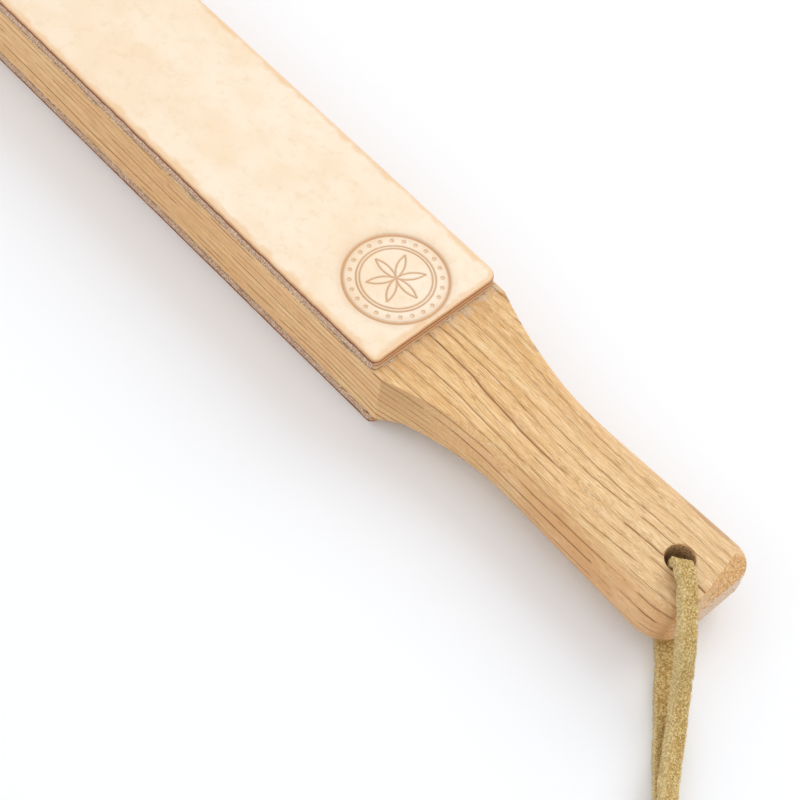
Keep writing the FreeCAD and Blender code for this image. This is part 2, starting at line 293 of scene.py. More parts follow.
def paddle_ring(row, inset=0.0):
    """The paddle's outline at one row: a rounded rectangle, drawn to and cut by the end's bevels."""
    far = side_half_width(row, FAR_CORNER_RADIUS) - inset
    near = side_half_width(row, NEAR_CORNER_RADIUS) - inset
    upper, lower = [min(radius, near - 0.5 * MM) for radius in edge_radii(row)]
    tall = HALF_THICKNESS - inset
    corners = []
    for side, level, radius, start in ((far, tall, upper, 0), (-near, tall, upper, 90),
                                       (-near, -tall, lower, 180), (far, -tall, lower, 270)):
        centre = (side - math.copysign(radius, side), level - math.copysign(radius, level))
        turns = [math.radians(start + 90 * part / ARC_CELLS) for part in range(ARC_CELLS + 1)]
        corners.append([(centre[0] + radius * math.cos(turn), centre[1] + radius * math.sin(turn))
                        for turn in turns])
    outline = []
    for index, corner in enumerate(corners):
        outline += corner
        (last_y, last_z), (next_y, next_z) = corner[-1], corners[(index + 1) % 4][0]
        cells = FLAT_CELLS if index % 2 == 0 else SIDE_CELLS
        for part in range(1, cells):
            share = part / cells
            outline.append((last_y + (next_y - last_y) * share, last_z + (next_z - last_z) * share))
    ring = []
    for y, height in outline:
        x = drawn_to_bevel(row, y, height)
        corner_radius = FAR_CORNER_RADIUS if y > 0 else NEAR_CORNER_RADIUS
        drawn = max(side_half_width(x, corner_radius) - inset, lower)
        y *= drawn / (far if y > 0 else near)
        ring.append(Vector((x, y, MIDDLE_Z + bevelled(x + inset, y, height))))
    return ring


def paddle_rows():
    """Places along X where the paddle's shape turns, closer together where it curves."""
    rows = []
    for degrees in range(0, 91, 15):
        rows.append(BLADE_END + CORNER_RADIUS * (1 - math.sin(math.radians(degrees))))
    rows += steps(BLADE_END + CORNER_RADIUS, SHOULDER - ARRIS, 6 * MM)
    rows += [SHOULDER, SHOULDER + ARRIS]
    hole_start = HOLE_X - HOLE_BLOCK / 2
    hole_end = HOLE_X + HOLE_BLOCK / 2
    rows += steps(SHOULDER + ARRIS, hole_start, 1.6 * MM)
    rows += steps(hole_start, hole_end, HOLE_BLOCK / HOLE_CELLS)
    rows += steps(hole_end, BEVEL_ROW - ARRIS / 2, 0.6 * MM)
    rows += steps(BEVEL_ROW, HANDLE_END - ARRIS, 0.4 * MM)
    rows.append(HANDLE_END)
    rows = sorted(rows)
    kept = [rows[0]]
    for row in rows[1:]:
        if row - kept[-1] > 0.02 * MM:
            kept.append(row)
    return kept, hole_start, hole_end


def oak_paddle():
    """The paddle's mesh, with the lace's hole let into its grid of quads."""
    stations, hole_start, hole_end = paddle_rows()
    rings = [paddle_ring(row) for row in stations]
    rings[0] = paddle_ring(stations[0], ARRIS)
    rings.append(paddle_ring(stations[-1], ARRIS))
    points, faces = lofted(rings)
    count = len(rings[0])
    first_row = min(range(len(stations)), key=lambda row: abs(stations[row] - hole_start))
    last_row = min(range(len(stations)), key=lambda row: abs(stations[row] - hole_end))
    rows = range(first_row, last_row)
    start = ARC_CELLS + (FLAT_CELLS - HOLE_CELLS) // 2
    upper = range(start, start + HOLE_CELLS)
    under_start = 3 * ARC_CELLS + FLAT_CELLS + SIDE_CELLS + (FLAT_CELLS - HOLE_CELLS) // 2
    under = range(under_start, under_start + HOLE_CELLS)
    gone = set()
    for row in rows:
        for column in list(upper) + list(under):
            gone.add(row * count + column)
    faces = [face for index, face in enumerate(faces) if index not in gone]
    loops = []
    for columns, z, sign in ((upper, oak_high.z, 1), (under, oak_low.z, -1)):
        low, high = columns[0], columns[-1] + 1
        loop = [(first_row, column) for column in range(low, high)]
        loop += [(row, high) for row in range(first_row, last_row)]
        loop += [(last_row, column) for column in range(high, low, -1)]
        loop += [(row, low) for row in range(last_row, first_row, -1)]
        edge = [row * count + column for row, column in loop]
        for grow, drop in ((1.14, 0.0), (1.07, 0.06), (1.02, 0.2), (1.0, 0.42)):
            ring = []
            for index in edge_angles(edge if grow == 1.14 else ring_before, points):
                radius = HOLE_RADIUS * grow
                ring.append(len(points))
                points.append(Vector((HOLE_X + radius * math.cos(index), radius * math.sin(index),
                                      z - sign * drop * MM)))
            before = edge if grow == 1.14 else ring_before
            for place in range(len(ring)):
                after = (place + 1) % len(ring)
                faces.append((before[place], before[after], ring[after], ring[place]))
            ring_before = ring
        loops.append(ring_before)
    bridge_walls(points, faces, loops)
    paddle = mesh_piece("oak_body", points, faces)
    for face in paddle.data.polygons:
        off_axis = math.hypot(face.center.x - HOLE_X, face.center.y)
        face.material_index = 1 if off_axis < HOLE_RADIUS and abs(face.normal.z) < 0.75 else 0
    return with_modifier(paddle, "WEIGHTED_NORMAL", keep_sharp=True, weight=60)


def edge_angles(indices, points):
    """The angle of each point about the hole's axis."""
    return [math.atan2(points[index].y, points[index].x - HOLE_X) for index in indices]


def bridge_walls(points, faces, loops):
    """The hole's wall, from its upper rim down to its lower one."""
    top, bottom = loops
    angles = edge_angles(top, points)
    bottom_angles = edge_angles(bottom, points)
    paired = []
    for angle in angles:
        paired.append(bottom[min(range(len(bottom)), key=lambda index: turn(bottom_angles[index], angle))])
    before = top
    levels = 6
    for level in range(1, levels + 1):
        share = level / levels
        ring = []
        for place, (upper, lower) in enumerate(zip(top, paired)):
            if level == levels:
                ring.append(lower)
            else:
                ring.append(len(points))
                points.append(points[upper].lerp(points[lower], share))
        for place in range(len(ring)):
            after = (place + 1) % len(ring)
            faces.append((before[place], before[after], ring[after], ring[place]))
        before = ring


def turn(first, second):
    """How far apart two angles are."""
    return abs((first - second + math.pi) % (2 * math.pi) - math.pi)


# ---------------------------------------------------------------- leather

def groove(distance, width, depth):
    """A pressed line's depth at this distance from its middle, with puffed shoulders."""
    shape = np.exp(-(distance / (width / 2)) ** 4) * depth
    shoulder = np.exp(-((np.abs(distance) - width * 0.85) / (width * 0.45)) ** 2) * depth * 0.22
    return shape - shoulder


def stamp(x, y):
    """How deep the round stamp presses in at each place, and how strongly it darkens it."""
    dx = x - STAMP_X
    radius = np.hypot(dx, y)
    inside = radius < ROSETTE_RADIUS + 0.2 * MM
    outer = radius - OUTER_RING_RADIUS
    depth = groove(outer, 1.0 * MM, 0.42 * MM) + np.exp(-(outer / (1.5 * MM)) ** 2) * 0.16 * MM
    tint = np.exp(-(outer / (0.3 * MM)) ** 2) + np.exp(-(outer / (1.7 * MM)) ** 2) * 0.3
    fine = [(radius - ring, 1.0) for ring in INNER_RING_RADII]
    for index in range(ROSETTE_ARCS):
        angle = 2 * math.pi * index / ROSETTE_ARCS
        arc = np.hypot(dx - ROSETTE_RADIUS * math.cos(angle), y - ROSETTE_RADIUS * math.sin(angle))
        fine.append((arc - ROSETTE_RADIUS, inside))
    for away, share in fine:
        depth = np.maximum(depth, groove(away, 0.5 * MM, 0.28 * MM) * share)
        tint = np.maximum(tint, np.exp(-(away / (0.24 * MM)) ** 2) * share)
    for index in range(DOT_COUNT):
        angle = 2 * math.pi * (index + 0.5) / DOT_COUNT
        away = np.hypot(dx - DOT_CIRCLE_RADIUS * math.cos(angle), y - DOT_CIRCLE_RADIUS * math.sin(angle))
        depth = np.maximum(depth, np.exp(-(away / DOT_RADIUS) ** 4) * 0.26 * MM)
        tint = np.maximum(tint, np.exp(-((away - DOT_RADIUS * 0.7) / (0.22 * MM)) ** 2) * 0.9)
    band = np.clip((OUTER_RING_RADIUS + 0.8 * MM - radius) / (1.6 * MM), 0, 1) * (radius > INNER_RING_RADII[0])
    puff = 0.1 * MM * np.clip(1 - (radius / (ROSETTE_RADIUS * 1.1)) ** 2, 0, 1)
    return depth + 0.1 * MM * band - puff, np.clip(tint, 0, 1)


def strap(name, node, stamped):
    """One strap of leather: a fine grid inside, and loops out over its rounded rim and down its cut edge.

    The plain strap is turned over: its face is the underside."""
    low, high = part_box(node)
    top = high.z
    thickness = high.z - low.z
    low_x, high_x = low.x + CORNER_RADIUS, high.x - CORNER_RADIUS
    half = high.y - CORNER_RADIUS
    fine = STAMP_X - OUTER_RING_RADIUS - 1.2 * MM
    fine_half = OUTER_RING_RADIUS + 1.2 * MM
    relief_step = RELIEF_STEP if stamped else 1.5 * MM
    xs = steps(low_x, fine, PLAIN_STEP) + steps(fine, high_x, relief_step)[1:]
    ys = steps(-half, -fine_half, 0.6 * MM) + steps(-fine_half, fine_half, relief_step)[1:]
    ys += steps(fine_half, half, 0.6 * MM)[1:]
    rows, columns = len(xs), len(ys)
    points = [(x, y, 0.0) for x in xs for y in ys]
    inward = [CORNER_RADIUS] * len(points)
    profile = [0.0] * len(points)
    faces = []
    for row in range(rows - 1):
        for column in range(columns - 1):
            at = row * columns + column
            faces.append((at, at + columns, at + columns + 1, at + 1))
    border = [(row * columns, (0.0, -1.0)) for row in range(rows)]
    border += corner_fan((rows - 1) * columns, -90)
    border += [((rows - 1) * columns + column, (1.0, 0.0)) for column in range(columns)]
    border += corner_fan(rows * columns - 1, 0)
    border += [(row * columns + columns - 1, (0.0, 1.0)) for row in range(rows - 1, -1, -1)]
    border += corner_fan(columns - 1, 90)
    border += [(column, (-1.0, 0.0)) for column in range(columns - 1, -1, -1)]
    border += corner_fan(0, 180)
    before = [index for index, direction in border]
    for outward, drop, along in strap_profile(thickness):
        ring = []
        for index, (dx, dy) in border:
            x, y = points[index][0], points[index][1]
            squarer = 1 + (SQUARE_CORNER * (2 * dx * dy) ** 2 if dx > 0 > dy else 0.0)
            place = Vector((x + dx * outward * squarer, y + dy * outward * squarer, top - drop))
            if drop > RIM_RADIUS * 0.5:
                swell = ripple(place, 9 * MM, WALL_WAVE) + ripple(place, 2.4 * MM, WALL_WAVE * 0.35, 5.0)
                place += Vector((dx, dy, 0.0)) * swell
            ring.append(len(points))
            points.append((place.x, place.y, -drop))
            inward.append(CORNER_RADIUS - outward)
            profile.append(along)
        for at in range(len(ring)):
            after = (at + 1) % len(ring)
            if before[at] == before[after]:
                faces.append((before[at], ring[at], ring[after]))
            else:
                faces.append((before[at], ring[at], ring[after], before[after]))
        before = ring
    faces.append(tuple(before))
    place = np.array(points)
    on_top = np.array(profile) == 0.0
    tint = np.zeros(len(points))
    if stamped:
        depth, tint = [part * on_top for part in stamp(place[:, 0], place[:, 1])]
        place[:, 2] += top - depth
    else:
        place[:, 2] = low.z - place[:, 2]
        faces = [tuple(reversed(face)) for face in faces]
    piece = closed_strap(name, place, faces)
    piece.data.attributes.new("rim", "FLOAT", "POINT").data.foreach_set("value", np.array(profile, np.float32))
    edge = np.array(inward, np.float32) / MM
    piece.data.attributes.new("inward", "FLOAT", "POINT").data.foreach_set("value", edge)
    piece.data.attributes.new("pressed", "FLOAT", "POINT").data.foreach_set("value", tint.astype(np.float32))
    return piece


def corner_fan(index, start):
    """One grid corner, repeated with each outward direction that its rounded corner turns through."""
    fan = []
    for part in range(1, 8):
        angle = math.radians(start + 90 * part / 8)
        fan.append((index, (math.cos(angle), math.sin(angle))))
    return fan


def strap_profile(thickness):
    """(outward, drop, place along the profile) from the flat top over the rim and down the wall."""
    loops = []
    flat = CORNER_RADIUS - RIM_RADIUS
    for outward in steps(0, flat, RELIEF_STEP)[1:]:
        loops.append((outward, 0.0, 0.0))
    for part in range(1, 9):
        angle = math.pi / 2 * part / 8
        loops.append((flat + RIM_RADIUS * math.sin(angle), RIM_RADIUS * (1 - math.cos(angle)), part / 8))
    wall = thickness - RIM_RADIUS
    for part in range(1, WALL_LOOPS + 1):
        share = part / WALL_LOOPS
        tuck = 0.12 * MM * max(0.0, share - 0.85) / 0.15
        loops.append((CORNER_RADIUS - tuck, RIM_RADIUS + wall * share, 1 + share))
    return loops


def closed_strap(name, place, faces):
    """A strap's mesh without merging, so that its attributes keep their order."""
    mesh = bpy.data.meshes.new(name)
    mesh.from_pydata(place.tolist(), [], faces)
    mesh.shade_smooth()
    piece = bpy.data.objects.new(name, mesh)
    bpy.context.scene.collection.objects.link(piece)
    return piece


# ---------------------------------------------------------------- lace

def lace_line():
    """The lace's smooth centreline, read from its spline."""
    curve = bpy.data.curves.new("lace_route", "CURVE")
    curve.dimensions = "3D"
    curve.resolution_u = 24
    spline = curve.splines.new("NURBS")
    spline.points.add(len(LACE_ROUTE) - 1)
    for point, place in zip(spline.points, LACE_ROUTE):
        point.co = (*place, 1.0)
    spline.order_u = 3
    spline.use_endpoint_u = True
    route = bpy.data.objects.new("lace_route", curve)
    bpy.context.scene.collection.objects.link(route)
    graph = bpy.context.evaluated_depsgraph_get()
    line = bpy.data.meshes.new_from_object(route.evaluated_get(graph), depsgraph=graph)
    points = [vertex.co.copy() for vertex in line.vertices]
    bpy.data.objects.remove(route)
    return points


def thong_ring(width, thickness, cells):
    """A flat thong's outline across its length, evenly divided, with soft corners."""
    corner = min(0.5 * MM, thickness * 0.4)
    outline = []
    for side_y, side_z, start in ((1, 1, 0), (-1, 1, 90), (-1, -1, 180), (1, -1, 270)):
        for part in range(4):
            angle = math.radians(start + 30 * part)
            outline.append(((width / 2 - corner) * side_y + corner * math.cos(angle),
                            (thickness / 2 - corner) * side_z + corner * math.sin(angle)))
        if side_y * side_z > 0:
            run = width - 2 * corner
            for part in range(1, cells):
                outline.append((side_y * (width / 2 - corner - run * part / cells), side_z * thickness / 2))
    return outline


def strip(name, line, twists, width, thickness, cells=9, rough=0.0):
    """A flat thong swept along a line, turned about it by the given angles, with a torn, grainy surface."""
    outline = thong_ring(width, thickness, cells)
    rings = []
    sideways = Vector((0.6, 0.8, 0.0))
    for index, centre in enumerate(line):
        ahead = line[min(index + 1, len(line) - 1)] - line[max(index - 1, 0)]
        ahead.normalize()
        across = (sideways - ahead * sideways.dot(ahead)).normalized()
        sideways = across
        up = ahead.cross(across)
        turned = across * math.cos(twists[index]) - up * math.sin(twists[index])
        normal = ahead.cross(turned)
        ring = []
        for y, z in outline:
            place = centre + turned * y + normal * z
            grain = ripple(place, 0.55 * MM, rough) + ripple(place, 1.7 * MM, rough * 0.8, 3.0)
            ring.append(place + (turned * y + normal * z).normalized() * grain)
        rings.append(ring)
    points, faces = lofted(rings)
    piece = mesh_piece(name, points, faces)
    piece.data.attributes.new("cut", "FLOAT", "POINT")
    edges = piece.data.attributes["cut"].data
    for vertex, mark in zip(piece.data.vertices, edges):
        nearest = min(range(0, len(line), 4), key=lambda at: (line[at] - vertex.co).length_squared)
        first, last = max(nearest - 4, 0), min(nearest + 5, len(line))
        reach = min((line[at] - vertex.co).length for at in range(first, last))
        mark.value = smooth((reach - width * 0.40) / (width * 0.1))
    return piece


def finer(line, step):
    """The same line read at even short steps along it."""
    lengths = [0.0]
    for before, after in zip(line, line[1:]):
        lengths.append(lengths[-1] + (after - before).length)
    count = round(lengths[-1] / step)
    places = np.linspace(0.0, lengths[-1], count + 1)
    columns = [np.interp(places, lengths, [point[axis] for point in line]) for axis in range(3)]
    return [Vector(point) for point in zip(*columns)]


def overhand_line():
    """The line that the doubled lace follows through its overhand knot, a tightened trefoil."""
    along = Vector((math.cos(KNOT_HEADING), math.sin(KNOT_HEADING), 0.0))
    aside = Vector((-along.y, along.x, 0.0))
    centre = KNOT_FACE + along * KNOT_LENGTH / 2
    line = []
    for part in range(141):
        turn = -2.07 + 4.14 * part / 140
        wide = (turn ** 3 - 3 * turn) * 1.30 * MM
        tall = (turn ** 4 - 4 * turn ** 2 + 2) * 1.22 * MM
        far = (turn ** 5 - 10 * turn) * 0.31 * MM
        calm = smooth((abs(turn) - 1.75) / 0.3)
        tall = tall * (1 - calm)
        line.append(centre + along * far + aside * wide * (1 - 0.6 * calm) + Vector((0, 0, tall)))
    return line


def tied_knot():
    """The overhand knot in the doubled lace, and its two cut tails lying on the floor."""
    line = overhand_line()
    parts = [strip("knot_turns", line, [0.4 * math.sin(index / 22) for index in range(len(line))],
                   3.6 * MM, 2.9 * MM, 5, 0.22 * MM)]
    along = Vector((math.cos(KNOT_HEADING), math.sin(KNOT_HEADING), 0.0))
    root = KNOT_FACE + along * KNOT_LENGTH * 0.62
    for side, level in ((1, 1.5 * MM), (-1, 2.6 * MM)):
        heading = KNOT_HEADING + side * TAIL_SPREAD
        ahead = Vector((math.cos(heading), math.sin(heading), 0.0))
        aside = Vector((-ahead.y, ahead.x, 0.0))
        tail = []
        for part in range(45):
            share = part / 44
            height = root.z * (1 - smooth(share * 1.7)) + level * smooth(share * 1.7)
            sway = side * 0.7 * MM * math.sin(share * 4.2)
            place = root + ahead * (TAIL_LENGTH + KNOT_LENGTH * 0.38) * share + aside * sway
            tail.append(Vector((place.x, place.y, height)))
        twists = [0.25 * side * smooth(part / 44) for part in range(45)]
        parts.append(strip("knot_tail", tail, twists, 4.9 * MM, 2.1 * MM, 7, 0.2 * MM))
    for part in parts:
        for vertex in part.data.vertices:
            vertex.co.z = max(vertex.co.z, 0.15 * MM)
    return joined("lace_knot", parts)


def joined(name, parts):
    """Several meshes made one piece, with their attributes kept."""
    with bpy.context.temp_override(active_object=parts[0], object=parts[0], selected_objects=parts,
                                   selected_editable_objects=parts):
        bpy.ops.object.join()
    parts[0].name = name
    return parts[0]


# ---------------------------------------------------------------- glue

def strap_border(node, outward):
    """Places round a strap's outline at this distance outside it, a fifth of a millimetre apart."""
    low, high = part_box(node)
    radius = CORNER_RADIUS
    corners = ((high.x - radius, high.y - radius, 0), (low.x + radius, high.y - radius, 90),
               (low.x + radius, low.y + radius, 180), (high.x - radius, low.y + radius, 270))
    outline = []
    for x, y, start in corners:
        for part in range(7):
            angle = math.radians(start + 15 * part)
            outline.append(Vector((x + radius * math.cos(angle), y + radius * math.sin(angle), 0.0)))
    border = []
    for index, place in enumerate(outline):
        following = outline[(index + 1) % len(outline)]
        for share in steps(0.0, 1.0, 0.5 * MM / max((following - place).length, 0.5 * MM))[:-1]:
            border.append(place.lerp(following, share))
    placed = []
    for index, place in enumerate(border):
        ahead = border[(index + 1) % len(border)] - border[index - 1]
        away = Vector((ahead.y, -ahead.x, 0.0)).normalized()
        placed.append((place + away * outward(place), away))
    return placed


def glue_line(name, strap_node, film_node):
    """The film of glue under a strap, squeezed out here and there into a thin dirty bead."""
    low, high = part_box(film_node)

    def squeezed(place):
        pooled = 0.5 * MM * smooth((noise.noise(place / (7 * MM)) - 0.05) / 0.4)
        return pooled + ripple(place, 1.3 * MM, 0.16 * MM) - 0.06 * MM

    border = strap_border(strap_node, squeezed)
    rings = []
    for outward, height in ((-0.5, 0.0), (0.0, 0.0), (0.06, 0.45), (0.0, 1.0), (-0.5, 1.0)):
        ring = []
        for place, away in border:
            swell = 0.10 * MM * smooth(noise.noise(place / (2.1 * MM)) + 0.4)
            edge = -swell + (high.z - low.z + 2 * swell) * height
            ring.append(Vector((place.x, place.y, low.z + edge)) + away * outward * MM)
        rings.append(ring)
    points, faces = lofted(rings)
    return mesh_piece(name, points, faces)


def bead_tree():
    """Little beads of glue along a path: at random places, of random sizes, pressed flat."""
    tree = bpy.data.node_groups.new("glue_beads", "GeometryNodeTree")
    sockets = tree.interface
    sockets.new_socket("Geometry", in_out="INPUT", socket_type="NodeSocketGeometry")
    for name, kind, value in (("Spacing", "Float", BEAD_SPACING), ("Bead size", "Float", BEAD_SIZE),
                              ("Seed", "Int", 7), ("Finish", "Material", None)):
        socket = sockets.new_socket(name, in_out="INPUT", socket_type="NodeSocket" + kind)
        if value is not None:
            socket.default_value = value
    sockets.new_socket("Geometry", in_out="OUTPUT", socket_type="NodeSocketGeometry")
    made = {}
    for key, kind in (("in", "NodeGroupInput"), ("curve", "GeometryNodeMeshToCurve"),
                      ("places", "GeometryNodeCurveToPoints"), ("shift", "FunctionNodeRandomValue"),
                      ("move", "GeometryNodeSetPosition"), ("bead", "GeometryNodeMeshIcoSphere"),
                      ("size", "FunctionNodeRandomValue"), ("put", "GeometryNodeInstanceOnPoints"),
                      ("real", "GeometryNodeRealizeInstances"), ("smooth", "GeometryNodeSetShadeSmooth"),
                      ("finish", "GeometryNodeSetMaterial"), ("spread", "ShaderNodeVectorMath"),
                      ("back", "ShaderNodeVectorMath"), ("out", "NodeGroupOutput")):
        made[key] = tree.nodes.new(kind)
    made["places"].mode = "LENGTH"
    made["shift"].data_type = "FLOAT_VECTOR"
    made["size"].data_type = "FLOAT_VECTOR"
    made["spread"].operation = "SCALE"
    made["back"].operation = "SCALE"
    made["bead"].inputs["Subdivisions"].default_value = 2
    made["bead"].inputs["Radius"].default_value = 1.0
    shift, size = made["shift"].inputs, made["size"].inputs
    shift[0].default_value = (-1.0, -1.0, -0.15)
    shift[1].default_value = (1.0, 1.0, 0.15)
    size[0].default_value = (0.25, 0.25, 0.2)
    size[1].default_value = (1.0, 1.0, 0.55)
    for start, outlet, end, inlet in (
            ("in", "Geometry", "curve", "Mesh"), ("curve", "Curve", "places", "Curve"),
            ("in", "Spacing", "places", "Length"), ("places", "Points", "move", "Geometry"),
            ("in", "Seed", "shift", "Seed"), ("in", "Seed", "size", "Seed"),
            ("in", "Bead size", "spread", "Scale"), ("spread", "Vector", "move", "Offset"),
            ("move", "Geometry", "put", "Points"), ("bead", "Mesh", "put", "Instance"),
            ("in", "Bead size", "back", "Scale"), ("back", "Vector", "put", "Scale"),
            ("put", "Instances", "real", "Geometry"), ("real", "Geometry", "smooth", "Geometry"),
            ("smooth", "Geometry", "finish", "Geometry"), ("in", "Finish", "finish", "Material"),
            ("finish", "Geometry", "out", "Geometry")):
        tree.links.new(made[start].outputs[outlet], made[end].inputs[inlet])
    tree.links.new(made["shift"].outputs[0], made["spread"].inputs[0])
    tree.links.new(made["size"].outputs[0], made["back"].inputs[0])
    return tree


def fuzz_tree():
    """Short stray fibres over a surface: cut thin, leaning every way, kept with the surface itself."""
    tree = bpy.data.node_groups.new("suede_fibres", "GeometryNodeTree")
    sockets = tree.interface
    sockets.new_socket("Geometry", in_out="INPUT", socket_type="NodeSocketGeometry")
    for name, kind, value in (("Density", "Float", 3.0e6), ("Fibre length", "Float", 0.55 * MM),
                              ("Fibre width", "Float", 0.055 * MM), ("Seed", "Int", 3),
                              ("Finish", "Material", None)):
        socket = sockets.new_socket(name, in_out="INPUT", socket_type="NodeSocket" + kind)
        if value is not None:
            socket.default_value = value
    sockets.new_socket("Geometry", in_out="OUTPUT", socket_type="NodeSocketGeometry")
    made = {}
    for key, kind in (("in", "NodeGroupInput"), ("scatter", "GeometryNodeDistributePointsOnFaces"),
                      ("fibre", "GeometryNodeMeshCone"), ("lean", "FunctionNodeRandomValue"),
                      ("turn", "FunctionNodeRotateEuler"), ("size", "FunctionNodeRandomValue"),
                      ("put", "GeometryNodeInstanceOnPoints"), ("real", "GeometryNodeRealizeInstances"),
                      ("both", "GeometryNodeJoinGeometry"), ("finish", "GeometryNodeSetMaterial"),
                      ("out", "NodeGroupOutput")):
        made[key] = tree.nodes.new(kind)
    made["lean"].data_type = "FLOAT_VECTOR"
    made["fibre"].fill_type = "NONE"
    made["turn"].rotation_type = "EULER"
    made["turn"].space = "LOCAL"
    made["fibre"].inputs["Vertices"].default_value = 3
    lean, size = made["lean"].inputs, made["size"].inputs
    lean[0].default_value = (-1.25, -1.25, -3.1)
    lean[1].default_value = (1.25, 1.25, 3.1)
    size[2].default_value = 0.35
    size[3].default_value = 1.0
    for start, outlet, end, inlet in (
            ("in", "Geometry", "scatter", "Mesh"), ("in", "Density", "scatter", "Density"),
            ("in", "Seed", "scatter", "Seed"), ("in", "Seed", "lean", "Seed"),
            ("in", "Fibre length", "fibre", "Depth"), ("in", "Fibre width", "fibre", "Radius Bottom"),
            ("scatter", "Points", "put", "Points"), ("fibre", "Mesh", "put", "Instance"),
            ("scatter", "Rotation", "turn", "Rotation"), ("turn", "Rotation", "put", "Rotation"),
            ("put", "Instances", "real", "Geometry"), ("in", "Geometry", "both", "Geometry"),
            ("real", "Geometry", "both", "Geometry"), ("both", "Geometry", "finish", "Geometry"),
            ("in", "Finish", "finish", "Material"), ("finish", "Geometry", "out", "Geometry")):
        tree.links.new(made[start].outputs[outlet], made[end].inputs[inlet])
    tree.links.new(made["lean"].outputs[0], made["turn"].inputs["Rotate By"])
    tree.links.new(made["size"].outputs[1], made["put"].inputs["Scale"])
    return tree


def grown(piece, tree, values):
    """The piece after a node tree has worked on it, as a plain mesh."""
    modifier = piece.modifiers.new("grown", "NODES")
    modifier.node_group = tree
    for item in tree.interface.items_tree:
        if item.in_out == "INPUT" and item.name in values:
            modifier[item.identifier] = values[item.name]
    graph = bpy.context.evaluated_depsgraph_get()
    mesh = bpy.data.meshes.new_from_object(piece.evaluated_get(graph), depsgraph=graph)
    piece.modifiers.remove(modifier)
    for vertex in mesh.vertices:
        vertex.co.z = max(vertex.co.z, 0.05 * MM)
    piece.data = mesh
    return piece


def glue_beads(name, strap_node, height, tree, finish, seed):
    """Beads of glue along the foot of one strap."""
    border = [place for place, away in strap_border(strap_node, lambda place: 0.15 * MM)]
    path = bpy.data.meshes.new(name)
    count = len(border)
    path.from_pydata([(place.x, place.y, height) for place in border],
                     [(index, (index + 1) % count) for index in range(count)], [])
    beads = bpy.data.objects.new(name, path)
    bpy.context.scene.collection.objects.link(beads)
    return grown(beads, tree, {"Seed": seed, "Finish": finish})


# ---------------------------------------------------------------- finishes

class Finish:
    """A finish being made: short ways to add its nodes and join them.  Its places are in millimetres."""

    def __init__(self, name):
        self.material = bpy.data.materials.new(name)
        self.material.use_nodes = True
        self.tree = self.material.node_tree
        self.shader = self.tree.nodes["Principled BSDF"]
        self.place = self.vector("MULTIPLY", self.node("TexCoord").outputs["Object"], (1000, 1000, 1000))

    def node(self, kind, **settings):
        made = self.tree.nodes.new("ShaderNode" + kind)
        for key, value in settings.items():
            setattr(made, key, value)
        return made

    def feed(self, socket, value):
        if isinstance(value, bpy.types.NodeSocket):
            self.tree.links.new(value, socket)
        elif socket.type == "RGBA":
            socket.default_value = (*value, 1)
        else:
            socket.default_value = value

    def math(self, operation, *values):
        made = self.node("Math", operation=operation)
        for socket, value in zip(made.inputs, values):
            self.feed(socket, value)
        return made.outputs["Value"]

    def vector(self, operation, *values):
        made = self.node("VectorMath", operation=operation)
        for socket, value in zip(made.inputs, values):
            self.feed(socket, value)
        return made.outputs["Value" if operation in ("LENGTH", "DOT_PRODUCT") else "Vector"]

    def stretched(self, sizes, place=None):
        """The place, in units of these three sizes."""
        return self.vector("DIVIDE", place or self.place, sizes)

    def split(self, vector):
        made = self.node("SeparateXYZ")
        self.feed(made.inputs["Vector"], vector)
        return made.outputs

    def join(self, x, y, z):
        made = self.node("CombineXYZ")
        for socket, value in zip(made.inputs, (x, y, z)):
            self.feed(socket, value)
        return made.outputs["Vector"]

    def clouds(self, sizes, detail=2.0, rough=0.5, place=None, output="Fac"):
        made = self.node("TexNoise")
        self.feed(made.inputs["Vector"], self.stretched(sizes, place))
        made.inputs["Scale"].default_value = 1.0
        made.inputs["Detail"].default_value = detail
        made.inputs["Roughness"].default_value = rough
        return made.outputs[output]

    def cells(self, sizes, feature="F1", place=None, output="Distance"):
        made = self.node("TexVoronoi", feature=feature)
        self.feed(made.inputs["Vector"], self.stretched(sizes, place))
        made.inputs["Scale"].default_value = 1.0
        return made.outputs[output]

    def attribute(self, name):
        return self.node("Attribute", attribute_name=name).outputs["Fac"]

    def between(self, value, low, high, from_share=0.0, to_share=1.0):
        """A smooth change from one share to another as the value goes from low to high."""
        made = self.node("MapRange", interpolation_type="SMOOTHSTEP")
        for key, number in (("Value", value), ("From Min", low), ("From Max", high),
                            ("To Min", from_share), ("To Max", to_share)):
            self.feed(made.inputs[key], number)
        return made.outputs["Result"]

    def mix(self, share, first, second, blend="MIX"):
        made = self.node("Mix", data_type="RGBA", blend_type=blend)
        colours = [socket for socket in made.inputs if socket.type == "RGBA"]
        self.feed(made.inputs["Factor"], share)
        self.feed(colours[0], first)
        self.feed(colours[1], second)
        return [socket for socket in made.outputs if socket.type == "RGBA"][0]

    def bump(self, height, depth, under=None):
        """Relief of this depth in metres, over any relief that is there already."""
        made = self.node("Bump")
        made.inputs["Distance"].default_value = depth
        self.feed(made.inputs["Height"], height)
        if under is not None:
            self.feed(made.inputs["Normal"], under)
        return made.outputs["Normal"]

    def finish(self, colour, rough, relief, **constants):
        self.feed(self.shader.inputs["Base Color"], colour)
        self.feed(self.shader.inputs["Roughness"], rough)
        self.feed(self.shader.inputs["Normal"], relief)
        for key, value in constants.items():
            self.feed(self.shader.inputs[key.replace("_", " ")], value)
        return self.material


